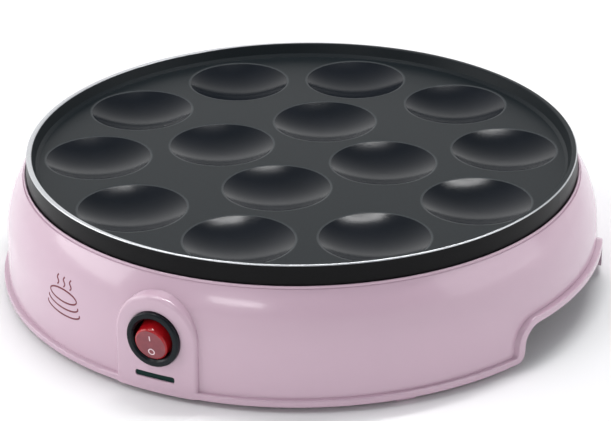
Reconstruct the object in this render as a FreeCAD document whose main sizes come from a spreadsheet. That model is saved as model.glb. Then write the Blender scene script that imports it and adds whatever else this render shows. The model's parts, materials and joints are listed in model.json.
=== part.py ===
"""Round mini-pancake griddle: a cast plate with fourteen shallow moulds on a
moulded housing, with its switch, indicator, heating element and wiring.

Millimetres, +Z up.  The origin is the middle of the plane that the feet stand
on.  The switch faces -Y and the cord inlet faces +Y.
"""
import FreeCAD, Part
import math
import os
import Sketcher

from FreeCAD import Placement, Rotation, Vector

DIMENSIONS = [
    # alias, value, what it is
    ("total_height", 58.0, "feet plane to the top of the plate's rim"),
    ("foot_drop", 2.5, "feet below the skirt"),
    # the cast plate
    ("rim_radius", 117.0, "outer edge of the plate at the top"),
    ("rim_draft", 0.5, "how much wider the rim is at its foot"),
    ("rim_land", 2.4, "flat top of the rim"),
    ("rim_slope", 1.9, "run of the rim's inner wall"),
    ("tray_depth", 5.5, "rim top down to the cooking floor"),
    ("web_thickness", 3.5, "cast floor of the plate"),
    ("mould_radius", 22.7, "edge of one pancake mould"),
    ("mould_round", 2.0, "rounding of a mould's edge"),
    ("mould_depth", 5.5, "floor down to the bottom of a mould"),
    ("outer_pitch", 86.7, "plate centre to an outer mould"),
    ("inner_pitch", 36.0, "plate centre to an inner mould"),
    ("outer_moulds", 10, "moulds in the outer ring"),
    ("inner_moulds", 4, "moulds in the inner ring"),
    ("pattern_turn", -80.0, "azimuth of the first mould of each ring"),
    ("boss_pitch", 101.5, "plate centre to a fixing boss"),
    ("boss_radius", 4.6, "fixing boss under the plate"),
    ("boss_foot", 40.0, "height of the bosses' lower faces"),
    ("thread_radius", 1.65, "tapped hole for an M4 screw"),
    # the housing
    ("wall", 2.4, "moulded wall of the housing"),
    ("skirt_radius", 127.45, "wall just above the bottom bead"),
    ("shoulder_radius", 126.8, "wall where the shoulder starts"),
    ("shoulder_height", 25.0, "height where the shoulder starts"),
    ("crown_radius", 119.0, "top of the shoulder"),
    ("crown_height", 48.5, "height of the shoulder's top"),
    ("shoulder_bow", 43.6, "radius of the shoulder's curve"),
    ("lip_radius", 118.6, "outside of the lip around the plate"),
    ("lip_inner", 117.8, "inside of the lip"),
    ("lip_height", 49.8, "top of the lip"),
    ("ledge_inner", 109.5, "inner edge of the ledge under the plate"),
    ("ledge_top", 47.6, "top of the ledge"),
    ("ledge_thickness", 2.2, "thickness of the ledge"),
    ("bead_radius", 129.4, "outside of the bottom bead"),
    ("bead_width", 3.0, "width of the bead"),
    # the hand grips at the sides
    ("grip_half", 45.2, "half width of a grip's mouth"),
    ("grip_top", 17.3, "height of a grip's top edge"),
    ("grip_slant", 1.1, "how much a grip narrows upwards on each side"),
    ("grip_upper_round", 8.0, "upper corners of a grip"),
    ("grip_lower_round", 4.5, "lower corners of a grip"),
    ("grip_inset", 106.0, "distance of a grip's back wall from the axis"),
    # the switch, its pad and the indicator
    ("pad_half", 18.0, "half width of the pad, and its arch's radius"),
    ("pad_draft", 1.9, "lean of the pad's face in degrees"),
    ("pad_round", 1.6, "rounding of the pad's edges"),
    ("switch_height", 25.8, "height of the switch's centre"),
    ("switch_hole", 20.2, "standard panel cut-out of a round rocker switch"),
    ("bezel_diameter", 23.0, "bezel of the switch"),
    ("bezel_rise", 1.6, "bezel in front of the pad"),
    ("rocker_opening", 17.0, "opening in the bezel"),
    ("rocker_waist", 16.4, "rocker across at its pivot"),
    ("rocker_face", 14.3, "rocker across at its face"),
    ("rocker_rise", 1.1, "rocker's face in front of the bezel's, level"),
    ("rocker_swing", 12.0, "rocker's tilt to each side in degrees"),
    ("pivot_radius", 1.2, "rocker's trunnions"),
    ("running_gap", 0.06, "radial play of a trunnion in its hole"),
    ("slot_length", 17.5, "indicator window"),
    ("slot_width", 2.6, "indicator window"),
    ("slot_height", 9.4, "height of the window's middle"),
    # the heating element and the sheet metal under the plate
    ("element_pitch", 61.35, "radius of the element's ring"),
    ("element_radius", 3.3, "half of the element tube's diameter"),
    ("element_height", 45.9, "height of the element's ring"),
    ("shield_radius", 108.0, "heat shield"),
    ("shield_sheet", 0.6, "heat shield's sheet"),
    ("bracket_sheet", 1.5, "clamp brackets' sheet"),
    # the bottom cover and what it carries
    ("cover_radius", 124.4, "edge of the bottom cover"),
    ("cover_foot", 4.2, "height of the cover's lower face"),
    ("cover_sheet", 2.2, "cover's thickness"),
    ("post_pitch", 120.0, "cover's screw posts in the housing"),
    ("post_radius", 5.4, "a screw post"),
    # the cord inlet
    ("inlet_height", 20.0, "height of the cord inlet"),
    ("inlet_bore", 7.2, "bore for a 7 mm cord"),
    ("inlet_flange", 17.0, "flange of the inlet bush"),
    ("inlet_neck", 12.0, "neck of the inlet bush"),
]

COVER_SCREW_AZIMUTHS = (60.0, 120.0, 240.0, 300.0)
FOOT_AZIMUTHS = (45.0, 135.0, 225.0, 315.0)
BOSS_GAPS = (0, 3, 5, 8)        # gaps between outer moulds that hold a boss
FULL_TURN = 360.0
THROUGH = 60.0                  # longer than any cut that uses it is deep

doc = FreeCAD.newDocument("griddle")
sheet = doc.addObject("Spreadsheet::Sheet", "dims")


class Size:
    """A number together with the sheet expression that gives it."""

    def __init__(self, value, text=None):
        self.value = float(value)
        self.text = text if text is not None else repr(self.value)

    def _join(self, other, sign, value):
        return Size(value, f"({self.text} {sign} {as_size(other).text})")

    def __add__(self, other):
        return self._join(other, "+", self.value + as_size(other).value)

    def __sub__(self, other):
        return self._join(other, "-", self.value - as_size(other).value)

    def __mul__(self, other):
        return self._join(other, "*", self.value * as_size(other).value)

    def __truediv__(self, other):
        return self._join(other, "/", self.value / as_size(other).value)

    def __neg__(self):
        return Size(-self.value, f"(0 - {self.text})")

    def __radd__(self, other):
        return as_size(other) + self

    def __rsub__(self, other):
        return as_size(other) - self

    def __rmul__(self, other):
        return as_size(other) * self

    def __float__(self):
        return self.value


def as_size(thing):
    """The thing itself if it is a Size, or the plain number as one."""
    return thing if isinstance(thing, Size) else Size(thing)


sizes = {}
for row, (alias, number, note) in enumerate(DIMENSIONS, start=1):
    sheet.set(f"A{row}", alias)
    sheet.set(f"B{row}", str(number))
    sheet.set(f"C{row}", note)
    sheet.setAlias(f"B{row}", alias)
    sizes[alias] = Size(number, f"dims.{alias}")
doc.recompute()


class Dims:
    """The sheet's sizes by name."""

    def __getattr__(self, alias):
        return sizes[alias]


d = Dims()
nodes = []


def keep(obj, label):
    """Mark a document object as a finished sub-part with its file's name."""
    obj.Label = label
    nodes.append(obj)
    return obj


# ---------------------------------------------------------------- placement

def polar(pitch, azimuth, height=0.0):
    """The point at a distance and an azimuth from the vertical axis."""
    turn = math.radians(azimuth)
    return Vector(float(pitch) * math.cos(turn), float(pitch) * math.sin(turn),
                  float(height))


def place_polar(obj, pitch, azimuth, height=0.0):
    """Stand an object at a distance, azimuth and height, turned outwards."""
    pitch, height = as_size(pitch), as_size(height)
    obj.Placement = Placement(polar(pitch, azimuth, height),
                              Rotation(Vector(0, 0, 1), azimuth))
    obj.setExpression("Placement.Base.x", f"{pitch.text} * cos({azimuth} deg)")
    obj.setExpression("Placement.Base.y", f"{pitch.text} * sin({azimuth} deg)")
    obj.setExpression("Placement.Base.z", height.text)
    return obj


def place(obj, x=0.0, y=0.0, z=0.0, rotation=None):
    """Put an object at a point, with an optional rotation."""
    point = [as_size(value) for value in (x, y, z)]
    obj.Placement = Placement(Vector(*[p.value for p in point]),
                              rotation or Rotation())
    for axis, coordinate in zip("xyz", point):
        obj.setExpression(f"Placement.Base.{axis}", coordinate.text)
    return obj


# --------------------------------------------------------------- primitives

def cylinder(radius, height, angle=None):
    """A cylinder on the local origin, along +Z."""
    obj = doc.addObject("Part::Cylinder", "Cylinder")
    obj.setExpression("Radius", as_size(radius).text)
    obj.setExpression("Height", as_size(height).text)
    if angle is not None:
        obj.Angle = angle
    return obj


def block(length, width, height):
    """A box that stands centred on its place, which stays to be set."""
    obj = doc.addObject("Part::Box", "Block")
    for side, size in zip(("Length", "Width", "Height"), (length, width, height)):
        obj.setExpression(side, as_size(size).text)
    return obj


def centred_block(length, width, height, x=0.0, y=0.0, z=0.0):
    """A box centred on x and y, with its lower face at z."""
    return place(block(length, width, height), as_size(x) - as_size(length) / 2,
                 as_size(y) - as_size(width) / 2, z)


def fuse(*members):
    """One solid out of several that meet."""
    obj = doc.addObject("Part::MultiFuse", "Fusion")
    obj.Shapes = list(members)
    return obj


def cut(base, *tools):
    """The base without the tools."""
    obj = doc.addObject("Part::Cut", "Cut")
    obj.Base = base
    obj.Tool = tools[0] if len(tools) == 1 else group(*tools)
    return obj


def common(base, tool):
    """What two solids share."""
    obj = doc.addObject("Part::Common", "Common")
    obj.Base = base
    obj.Tool = tool
    return obj


def rounded(base, radius, chosen):
    """The base with the edges that a test chooses rounded to a radius."""
    doc.recompute()
    obj = doc.addObject("Part::Fillet", "Rounding")
    obj.Base = base
    obj.Edges = [(index, float(radius), float(radius))
                 for index, edge in enumerate(base.Shape.Edges, start=1)
                 if chosen(edge)]
    return obj


def group(*members):
    """Several separate solids as one object."""
    obj = doc.addObject("Part::Compound", "Group")
    obj.Links = list(members)
    return obj


def plain(shape, label="Shape"):
    """A document object around a shape made by Part's own functions."""
    obj = doc.addObject("Part::Feature", label)
    obj.Shape = shape
    return obj


# ------------------------------------------------- revolved and padded bodies

def origin_plane(body, role):
    """One of a body's own origin planes."""
    return next(item for item in body.Origin.OriginFeatures if item.Role == role)


def closed_sketch(body, role, outline):
    """A closed sketch; each corner's two coordinates are bound to the sheet.

    A corner is (x, y), or (x, y, bow) when an arc of that radius, bulging to the
    right of its travel, runs from it to the next corner.
    """
    sketch = body.newObject("Sketcher::SketchObject", "Outline")
    sketch.AttachmentSupport = [(origin_plane(body, role), "")]
    sketch.MapMode = "FlatFace"
    corners = [[as_size(value) for value in corner] for corner in outline]
    spots = [Vector(c[0].value, c[1].value, 0) for c in corners]
    for index, corner in enumerate(corners):
        start, end = spots[index], spots[(index + 1) % len(spots)]
        if len(corner) == 3:
            sketch.addGeometry(bowed_edge(start, end, corner[2].value), False)
        else:
            sketch.addGeometry(Part.LineSegment(start, end), False)
    return bind_sketch(sketch, corners)


def bowed_edge(start, end, bow):
    """An arc between two points that bulges to the right of its travel."""
    along = end - start
    half = along.Length / 2
    right = Vector(along.y, -along.x, 0).normalize()
    sag = bow - math.sqrt(max(bow * bow - half * half, 0.0))
    return Part.Arc(start, start + along / 2 + right * sag, end)


def bind_sketch(sketch, corners):
    """Tie every corner of a closed sketch to its two coordinates."""
    count = len(corners)
    for index, corner in enumerate(corners):
        before = (index - 1) % count
        edge, last = sketch.Geometry[index], sketch.Geometry[before]
        start = start_point(edge, corner)
        end = 3 - start_point(last, corners[before])
        sketch.addConstraint(Sketcher.Constraint(
            "Coincident", before, end, index, start))
        for kind, size in (("DistanceX", corner[0]), ("DistanceY", corner[1])):
            number = sketch.addConstraint(Sketcher.Constraint(
                kind, -1, 1, index, start, size.value))
            if size.text.startswith(("dims", "(")):
                sketch.setExpression(f"Constraints[{number}]", size.text)
        if len(corner) == 3:
            sketch.addConstraint(Sketcher.Constraint("Radius", index, corner[2].value))
    return sketch


def start_point(edge, corner):
    """Which end (1 or 2) of a sketch edge lies on the corner it starts from."""
    spot = Vector(corner[0].value, corner[1].value, 0)
    return 1 if (edge.StartPoint - spot).Length < 1e-4 else 2


def revolved(outline, angle=FULL_TURN):
    """A body turned about the vertical axis from corners (radius, height)."""
    body = doc.addObject("PartDesign::Body", "Turned")
    sketch = closed_sketch(body, "XZ_Plane", outline)
    turn = body.newObject("PartDesign::Revolution", "Revolution")
    turn.Profile = sketch
    turn.ReferenceAxis = (sketch, ["V_Axis"])
    turn.Angle = angle
    return body


def padded(outline, length, role="XY_Plane"):
    """A body padded from an outline on one of its origin planes."""
    body = doc.addObject("PartDesign::Body", "Padded")
    sketch = closed_sketch(body, role, outline)
    pad = body.newObject("PartDesign::Pad", "Pad")
    pad.Profile = sketch
    pad.setExpression("Length", as_size(length).text)
    return body


def rounded_wire(corners):
    """A closed wire of lines whose corners (x, y, radius) are rounded."""
    points = [Vector(float(x), float(y), 0) for x, y, _ in corners]
    edges, ends = [], []
    for index, (_, _, radius) in enumerate(corners):
        here = points[index]
        back = (points[index - 1] - here).normalize()
        ahead = (points[(index + 1) % len(points)] - here).normalize()
        half = back.getAngle(ahead) / 2
        reach = float(radius) / math.tan(half)
        middle = (back + ahead).normalize()
        bulge = here + middle * (float(radius) / math.sin(half) - float(radius))
        ends.append((here + back * reach, bulge, here + ahead * reach, float(radius)))
    for index, (arrive, bulge, leave, radius) in enumerate(ends):
        if radius > 0:
            edges.append(Part.Arc(arrive, bulge, leave).toShape())
        following = ends[(index + 1) % len(ends)][0]
        if (following - leave).Length > 1e-6:
            edges.append(Part.LineSegment(leave, following).toShape())
    return Part.Wire(edges)


def tube_along(points, radius, bend):
    """A round wire or tube through points, its corners bent to one radius."""
    spots = [Vector(*point) for point in points]
    edges, start = [], spots[0]
    for before, here, after in zip(spots, spots[1:], spots[2:]):
        back, ahead = (before - here).normalize(), (after - here).normalize()
        half = back.getAngle(ahead) / 2
        reach = bend / math.tan(half)
        bulge = here + (back + ahead).normalize() * (bend / math.sin(half) - bend)
        edges.append(Part.LineSegment(start, here + back * reach).toShape())
        edges.append(Part.Arc(here + back * reach, bulge,
                              here + ahead * reach).toShape())
        start = here + ahead * reach
    edges.append(Part.LineSegment(start, spots[-1]).toShape())
    path = Part.Wire(edges)
    direction = (spots[1] - spots[0]).normalize()
    ring = Part.Wire(Part.makeCircle(radius, spots[0], direction))
    return path.makePipeShell([ring], True, True)


# ------------------------------------------------------------ griddle plate

floor_top = d.total_height - d.tray_depth
web_foot = floor_top - d.web_thickness
GASKET = 1.0                    # insulating ring between plate and housing
rim_foot = d.ledge_top + GASKET
RIM_ROUND = 0.7                 # worn edge of the rim
MOULD_WALL = 3.0                # metal under a mould
GROOVE_PLAY = 0.12              # radial play of the element in its groove
SENSOR_EAR = 12.0               # thermostat's fixing screws from the axis
SENSOR_AZIMUTHS = (float(d.pattern_turn) + 45.0, float(d.pattern_turn) + 225.0)
SENSOR_PAD = 5.0                # thermostat's seat below the web
boss_azimuths = [float(d.pattern_turn) + FULL_TURN / float(d.outer_moulds)
                 * (gap + 0.5) for gap in BOSS_GAPS]


def lens(name, radius, depth, top, above=0.0):
    """A spherical cap that hangs from a plane, carried on a little above it."""
    bowl = (radius * radius + depth * depth) / (2 * as_size(depth))
    ball = doc.addObject("Part::Sphere", name)
    ball.setExpression("Radius", bowl.text)
    place(ball, z=top - depth + bowl)
    return common(ball, place(cylinder(radius * 1.2, depth + 0.5 + above),
                              z=top - depth - 0.5))


def ring_of(maker, count, pitch):
    """A group of copies made by a function, evenly round the axis."""
    items = []
    for index in range(int(float(count))):
        azimuth = float(d.pattern_turn) + index * FULL_TURN / float(count)
        items.append(place_polar(maker(), pitch, azimuth))
    return items


def mould_cavity():
    """The hollow of one mould, up through the plate's floor."""
    return lens("Cavity", d.mould_radius, d.mould_depth, floor_top, above=0.5)


def mould_back():
    """The metal that bulges below the plate behind one mould."""
    return lens("Bulge", d.mould_radius + 1.6, d.mould_depth + MOULD_WALL,
                floor_top - 0.2)


def mould_edge(edge):
    """Whether an edge is the upper edge of a mould."""
    around = 2 * math.pi * float(d.mould_radius)
    return (abs(edge.Length - around) < 0.05
            and abs(edge.BoundBox.ZMin - float(floor_top)) < 0.01)


def griddle_plate():
    """Cast aluminium tray with its moulds, element seat and fixing bosses."""
    rim_inner = d.rim_radius - d.rim_land
    tray_radius = rim_inner - d.rim_slope
    rim_base = d.rim_radius + d.rim_draft
    casting = revolved([
        (0, web_foot), (tray_radius - 0.1, web_foot), (tray_radius - 0.1, rim_foot),
        (rim_base, rim_foot), (d.rim_radius, d.total_height - RIM_ROUND, RIM_ROUND),
        (d.rim_radius - RIM_ROUND, d.total_height),
        (rim_inner + 0.4, d.total_height), (rim_inner, d.total_height - 0.4),
        (tray_radius + 0.5, floor_top + 1.2), (tray_radius - 0.8, floor_top),
        (0, floor_top)])
    seat_half = d.element_radius + 1.6
    seat_foot = d.element_height + 0.3
    seat = revolved([
        (d.element_pitch - seat_half, seat_foot), (d.element_pitch + seat_half, seat_foot),
        (d.element_pitch + seat_half, web_foot + 0.5),
        (d.element_pitch - seat_half, web_foot + 0.5)])
    bosses = [place_polar(cylinder(d.boss_radius, web_foot + 1 - d.boss_foot),
                          d.boss_pitch, azimuth, d.boss_foot)
              for azimuth in boss_azimuths]
    sensor_pad = place(cylinder(9.2, SENSOR_PAD + 0.5), z=web_foot - SENSOR_PAD)
    ears = [place_polar(cylinder(4.0, SENSOR_PAD + 0.5), SENSOR_EAR, azimuth,
                        web_foot - SENSOR_PAD) for azimuth in SENSOR_AZIMUTHS]
    backs = (ring_of(mould_back, d.outer_moulds, d.outer_pitch)
             + ring_of(mould_back, d.inner_moulds, d.inner_pitch))
    solid = fuse(casting, seat, sensor_pad, *bosses, *ears, *backs)

    groove = doc.addObject("Part::Torus", "ElementGroove")
    groove.setExpression("Radius1", d.element_pitch.text)
    groove.setExpression("Radius2", (d.element_radius + GROOVE_PLAY).text)
    place(groove, z=d.element_height)
    threads = [place_polar(cylinder(d.thread_radius, 8.0), d.boss_pitch, azimuth,
                           d.boss_foot - 1) for azimuth in boss_azimuths]
    threads += [place_polar(cylinder(1.3, 5.0), SENSOR_EAR, azimuth,
                            web_foot - SENSOR_PAD - 1.0) for azimuth in SENSOR_AZIMUTHS]
    cavities = (ring_of(mould_cavity, d.outer_moulds, d.outer_pitch)
                + ring_of(mould_cavity, d.inner_moulds, d.inner_pitch))
    finished = rounded(cut(solid, groove, *threads, *cavities), d.mould_round,
                       mould_edge)
    return keep(finished, "griddle_plate")


griddle_plate()


# -------------------------------------------------------------- base shell

BEAD_ROUND = 0.7                # rounded edges of the bottom bead
PANEL = 2.4                     # thickness left where a piece snaps in
SEAT_DEPTH = 0.6                # flat seat for the bezel in the curved pad
POST_TOP = 30.0                 # top of the screw posts
FOOT_WIDTH = 8.0
FOOT_LIFT = 0.5                 # moulded feet stop short; their pads stand proud
PAD_RADIUS = 2.6                # rubber pads in the feet
pad_lean = float(d.pad_draft)
cover_top = d.cover_foot + d.cover_sheet
foot_pitch = d.bead_radius - 6.2


def side_prism(grow, flare):
    """The mouth of both grips, widened all round by a margin, along X.

    Below the skirt's edge it reaches to both sides as far as the flare.
    """
    half, top = float(d.grip_half), float(d.grip_top)
    low, skirt = -5.0, float(d.foot_drop)
    inner_round = float(d.grip_upper_round) + grow
    outer_round = float(d.grip_lower_round) - grow
    outline = [
        (-flare - grow, low, 0), (-flare - grow, skirt + grow, 0),
        (-half - grow, skirt + grow, max(outer_round, 0.5)),
        (-half - grow + float(d.grip_slant), top + grow, inner_round),
        (half + grow - float(d.grip_slant), top + grow, inner_round),
        (half + grow, skirt + grow, max(outer_round, 0.5)),
        (flare + grow, skirt + grow, 0), (flare + grow, low, 0)]
    face = Part.Face(rounded_wire(outline))
    prism = face.extrude(Vector(0, 0, 2 * 150.0))
    prism.Placement = Placement(Vector(-150.0, 0, 0),
                                Rotation(Vector(0, 1, 0), Vector(0, 0, 1),
                                         Vector(1, 0, 0), "XYZ"))
    return plain(prism, "GripMouth")


def skirt_radius_at(height):
    """Outer radius of the drafted wall at a height."""
    rise = (d.skirt_radius - d.shoulder_radius) / (d.shoulder_height - 6.0)
    return d.skirt_radius - rise * (as_size(height) - 6.0)


def shell_wall():
    """The drafted wall, the curved shoulder, the lip and the plate's ledge."""
    ledge_foot = d.ledge_top - d.ledge_thickness
    lip_round = (d.lip_radius - d.lip_inner) / 2 + 0.02
    outer = [
        (skirt_radius_at(d.foot_drop) - d.wall, d.foot_drop),
        (skirt_radius_at(d.foot_drop), d.foot_drop),
        (d.shoulder_radius, d.shoulder_height, d.shoulder_bow),
        (d.crown_radius, d.crown_height),
        (d.crown_radius - 0.25, d.crown_height - 0.35),
        (d.lip_radius, d.crown_height),
        (d.lip_radius, d.lip_height - lip_round, lip_round),
        (d.lip_inner, d.lip_height - lip_round)]
    inner = [
        (d.lip_inner, d.ledge_top), (d.ledge_inner, d.ledge_top),
        (d.ledge_inner, ledge_foot), (d.crown_radius - d.wall - 1, ledge_foot),
        (d.shoulder_radius - d.wall - 1.6, d.shoulder_height + 8),
        (d.shoulder_radius - d.wall, d.shoulder_height)]
    return revolved(outer + inner)


def bottom_bead():
    """The raised band along the skirt's edge and round the grips."""
    top = d.grip_top + d.bead_width + 1
    ring = revolved([
        (skirt_radius_at(d.foot_drop) - 1.2, d.foot_drop),
        (d.bead_radius, d.foot_drop), (d.bead_radius, top),
        (skirt_radius_at(top) - 1.2, top)])
    band = common(ring, side_prism(float(d.bead_width), 160.0))
    return rounded(band, BEAD_ROUND, on_bead_front)


def on_bead_front(edge):
    """Whether an edge lies on the outside of the bead."""
    return all(abs(math.hypot(p.x, p.y) - float(d.bead_radius)) < 0.02
               for p in edge.discretize(5))


def pad_radius_at(height):
    """Distance of the pad's leaning face from the axis at a height."""
    slope = math.tan(math.radians(pad_lean))
    return d.bead_radius - (as_size(height) - d.foot_drop - d.bead_width) * slope


def arch_prism(half):
    """A block with the arch's outline, along -Y from the axis."""
    centre, foot = float(d.switch_height), float(d.foot_drop)
    edges = [
        Part.LineSegment(Vector(-half, 0, foot), Vector(half, 0, foot)).toShape(),
        Part.LineSegment(Vector(half, 0, foot), Vector(half, 0, centre)).toShape(),
        Part.Arc(Vector(half, 0, centre), Vector(0, 0, centre + half),
                 Vector(-half, 0, centre)).toShape(),
        Part.LineSegment(Vector(-half, 0, centre), Vector(-half, 0, foot)).toShape()]
    return plain(Part.Face(Part.Wire(edges)).extrude(Vector(0, -150.0, 0)), "Arch")


def pad_ring(inner, behind):
    """A ring whose outside leans as the pad's face does, some way behind it."""
    knee = d.foot_drop + d.bead_width
    top = float(d.switch_height) + float(d.pad_half) + 2
    return revolved(inner + [
        (d.bead_radius - behind, d.foot_drop), (d.bead_radius - behind, knee),
        (pad_radius_at(top) - behind, top)])


def switch_pad():
    """Arched pad around the switch, flush with the bead at its foot."""
    top = float(d.switch_height) + float(d.pad_half) + 2
    inner = [(d.crown_radius - d.wall - 0.5, top),
             (d.shoulder_radius - d.wall + 0.3, d.shoulder_height),
             (d.shoulder_radius - d.wall + 0.3, d.foot_drop)]
    arch = common(pad_ring(inner, 0), arch_prism(float(d.pad_half)))
    return rounded(arch, d.pad_round, on_pad_front)


def pad_pocket():
    """The hollow behind the pad, one wall thickness inside it."""
    top = float(d.switch_height) + float(d.pad_half) + 2
    inner = [(100, top), (100, d.foot_drop)]
    return common(pad_ring(inner, PANEL), arch_prism(float(d.pad_half) - PANEL))


def on_pad_front(edge):
    """Whether an edge outlines the pad's face, above the bead."""
    spots = edge.discretize(5)
    return all(abs(math.hypot(p.x, p.y) - float(pad_radius_at(p.z))) < 0.05
               and p.z > float(d.foot_drop) + float(d.bead_width) - 0.01
               for p in spots) and max(p.z for p in spots) > 10.0


def tilted(depth=0.0, along=0.0, across=0.0):
    """A place on the switch's own axes: outwards, up the pad, and along X."""
    seat = Vector(0, -float(pad_radius_at(d.switch_height)), float(d.switch_height))
    turn = Rotation(Vector(1, 0, 0), 90.0 - pad_lean)
    return Placement(seat + turn.multVec(Vector(across, along, depth)), turn)


def on_switch(obj, depth=0.0, along=0.0, across=0.0):
    """Put an object on the switch's axes."""
    obj.Placement = tilted(depth, along, across)
    return obj


def lying(obj, y, z, x=0.0):
    """Lay an object that points up so that it points along +Y."""
    obj.Placement = Placement(Vector(float(x), float(y), float(z)),
                              Rotation(Vector(1, 0, 0), -90.0))
    return obj


inlet_face = pad_radius_at(d.inlet_height) - 0.6
slot_face = pad_radius_at(d.slot_height)


def window_prism(grow, depth):
    """A bar with rounded ends, the shape of the indicator's window."""
    half = float(d.slot_width) / 2 + grow
    reach = float(d.slot_length) / 2 + grow
    corner = min(0.9 + grow, half - 0.01)
    face = Part.Face(rounded_wire([(-reach, -half, corner), (reach, -half, corner),
                                   (reach, half, corner), (-reach, half, corner)]))
    bar = plain(face.extrude(Vector(0, 0, depth)), "Window")
    bar.Placement = Placement(Vector(0, -float(slot_face), float(d.slot_height)),
                              Rotation(Vector(1, 0, 0), 90.0))
    return bar


def base_shell():
    """The moulded housing with its pad, posts, grips, feet and openings."""
    inner_wall = revolved([
        (100, d.foot_drop), (d.shoulder_radius - 0.6, d.foot_drop),
        (d.shoulder_radius - 0.6, POST_TOP + 1), (100, POST_TOP + 1)])
    posts = [common(place_polar(cylinder(d.post_radius, POST_TOP - cover_top),
                                d.post_pitch, azimuth, cover_top), inner_wall)
             for azimuth in COVER_SCREW_AZIMUTHS]
    feet = [turned_block(6.4, FOOT_WIDTH, d.cover_foot - 0.1 - FOOT_LIFT,
                         foot_pitch, azimuth, FOOT_LIFT)
            for azimuth in FOOT_AZIMUTHS]
    inlet_boss = lying(cylinder(10.5, inlet_face - 122.0), 122.0, d.inlet_height)
    body = fuse(shell_wall(), bottom_bead(), switch_pad(), inlet_boss, *feet, *posts)

    seat = on_switch(cylinder(d.bezel_diameter / 2 + 0.3, 10.0), -SEAT_DEPTH)
    hole = on_switch(cylinder(d.switch_hole / 2, THROUGH), -THROUGH / 2)
    window = window_prism(0.0, THROUGH)
    window.Placement.Base.y += THROUGH / 2
    bore = lying(cylinder(d.inlet_neck / 2 + 0.1, THROUGH), 100.0, d.inlet_height)
    bore_recess = lying(cylinder(9.0, 20.0), inlet_face - PANEL - 20.0, d.inlet_height)
    pilots = [place_polar(cylinder(1.3, 14.0), d.post_pitch - 1.0, azimuth,
                          cover_top - 0.5) for azimuth in COVER_SCREW_AZIMUTHS]
    pad_holes = [place_polar(cylinder(PAD_RADIUS + 0.02, 1.6), foot_pitch,
                             azimuth, FOOT_LIFT - 0.1) for azimuth in FOOT_AZIMUTHS]
    return keep(cut(body, side_prism(0.0, 55.0), pad_pocket(), seat, hole, window, bore,
                    bore_recess, *pilots, *pad_holes), "base_shell")


def turned_block(length, width, height, pitch, azimuth, z):
    """A box centred at a distance from the axis and turned to face outwards."""
    turn = math.radians(azimuth)
    obj = block(length, width, height)
    half = Vector(-float(as_size(length)) / 2, -float(as_size(width)) / 2, 0)
    rotation = Rotation(Vector(0, 0, 1), azimuth)
    obj.Placement = Placement(polar(pitch, azimuth, z) + rotation.multVec(half),
                              rotation)
    return obj


base_shell()


# ------------------------------------------------- under the griddle plate

def insulating_ring():
    """Heat-resistant ring between the plate's rim and the housing's ledge."""
    outer, inner = d.rim_radius - 0.4, d.rim_radius - 4.6
    return keep(revolved([(inner, d.ledge_top), (outer, d.ledge_top),
                          (outer, rim_foot), (inner, rim_foot)]), "insulating_ring")


SHIELD_HOLE = 20.0              # opening around the thermostat
shield_foot = d.boss_foot - d.shield_sheet
EARTH_PITCH, EARTH_AZIMUTH = 84.0, 64.0
FUSE_PITCH, FUSE_AZIMUTH = 52.0, 150.0
FUSE_RIVET = 6.5                # rivets to each side of the fuse
FUSE_DROP = 3.4                 # fuse's middle below the shield
WASHER = 0.8                    # spring washer's thickness
SCREW_HEAD = 2.6                # plate screw's head
ELEMENT_GAP = 18.0              # half of the gap in the ring, in degrees
LEG_BEND = 9.0
LEG_FOOT = 30.0                 # height where the tube's legs end
leg_spot = Vector(
    float(d.element_pitch) * math.sin(math.radians(ELEMENT_GAP))
    - LEG_BEND * math.cos(math.radians(ELEMENT_GAP)),
    float(d.element_pitch) * math.cos(math.radians(ELEMENT_GAP))
    + LEG_BEND * math.sin(math.radians(ELEMENT_GAP)), 0)


def heating_element():
    """Sheathed element: most of a ring, with both ends bent down as legs."""
    pitch, height = float(d.element_pitch), float(d.element_height)
    right_end = polar(pitch, 90.0 - ELEMENT_GAP, height)
    left_end = polar(pitch, 90.0 + ELEMENT_GAP, height)
    drop = Vector(0, 0, -LEG_BEND)
    right_leg = Vector(leg_spot.x, leg_spot.y, height) + drop
    left_leg = Vector(-leg_spot.x, leg_spot.y, height) + drop
    eighth = math.sin(math.radians(45.0))

    def bend(end, leg):
        middle = Vector(leg.x + (end.x - leg.x) * (1 - eighth),
                        leg.y + (end.y - leg.y) * (1 - eighth),
                        height - LEG_BEND * (1 - eighth))
        return Part.Arc(end, middle, leg).toShape()

    path = Part.Wire([
        Part.LineSegment(Vector(right_leg.x, right_leg.y, LEG_FOOT),
                         right_leg).toShape(),
        bend(right_end, right_leg),
        Part.Arc(right_end, Vector(0, -pitch, height), left_end).toShape(),
        bend(left_end, left_leg),
        Part.LineSegment(left_leg, Vector(left_leg.x, left_leg.y,
                                          LEG_FOOT)).toShape()])
    ring = Part.Wire(Part.makeCircle(float(d.element_radius),
                                     Vector(right_leg.x, right_leg.y, LEG_FOOT),
                                     Vector(0, 0, 1)))
    keep(plain(path.makePipeShell([ring], True, False), "Element"),
         "heating_element")
    seals, pins = [], []
    for side in (-1, 1):
        x, y = side * leg_spot.x, leg_spot.y
        seals.append(cut(place(cylinder(3.1, 4.0), x, y, LEG_FOOT - 4.0),
                         place(cylinder(1.2, 6.0), x, y, LEG_FOOT - 5.0)))
        pins.append(place(cylinder(1.2, 8.0), x, y, LEG_FOOT - 8.0))
    keep(group(*seals), "element_seals")
    keep(group(*pins), "element_pins")


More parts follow.
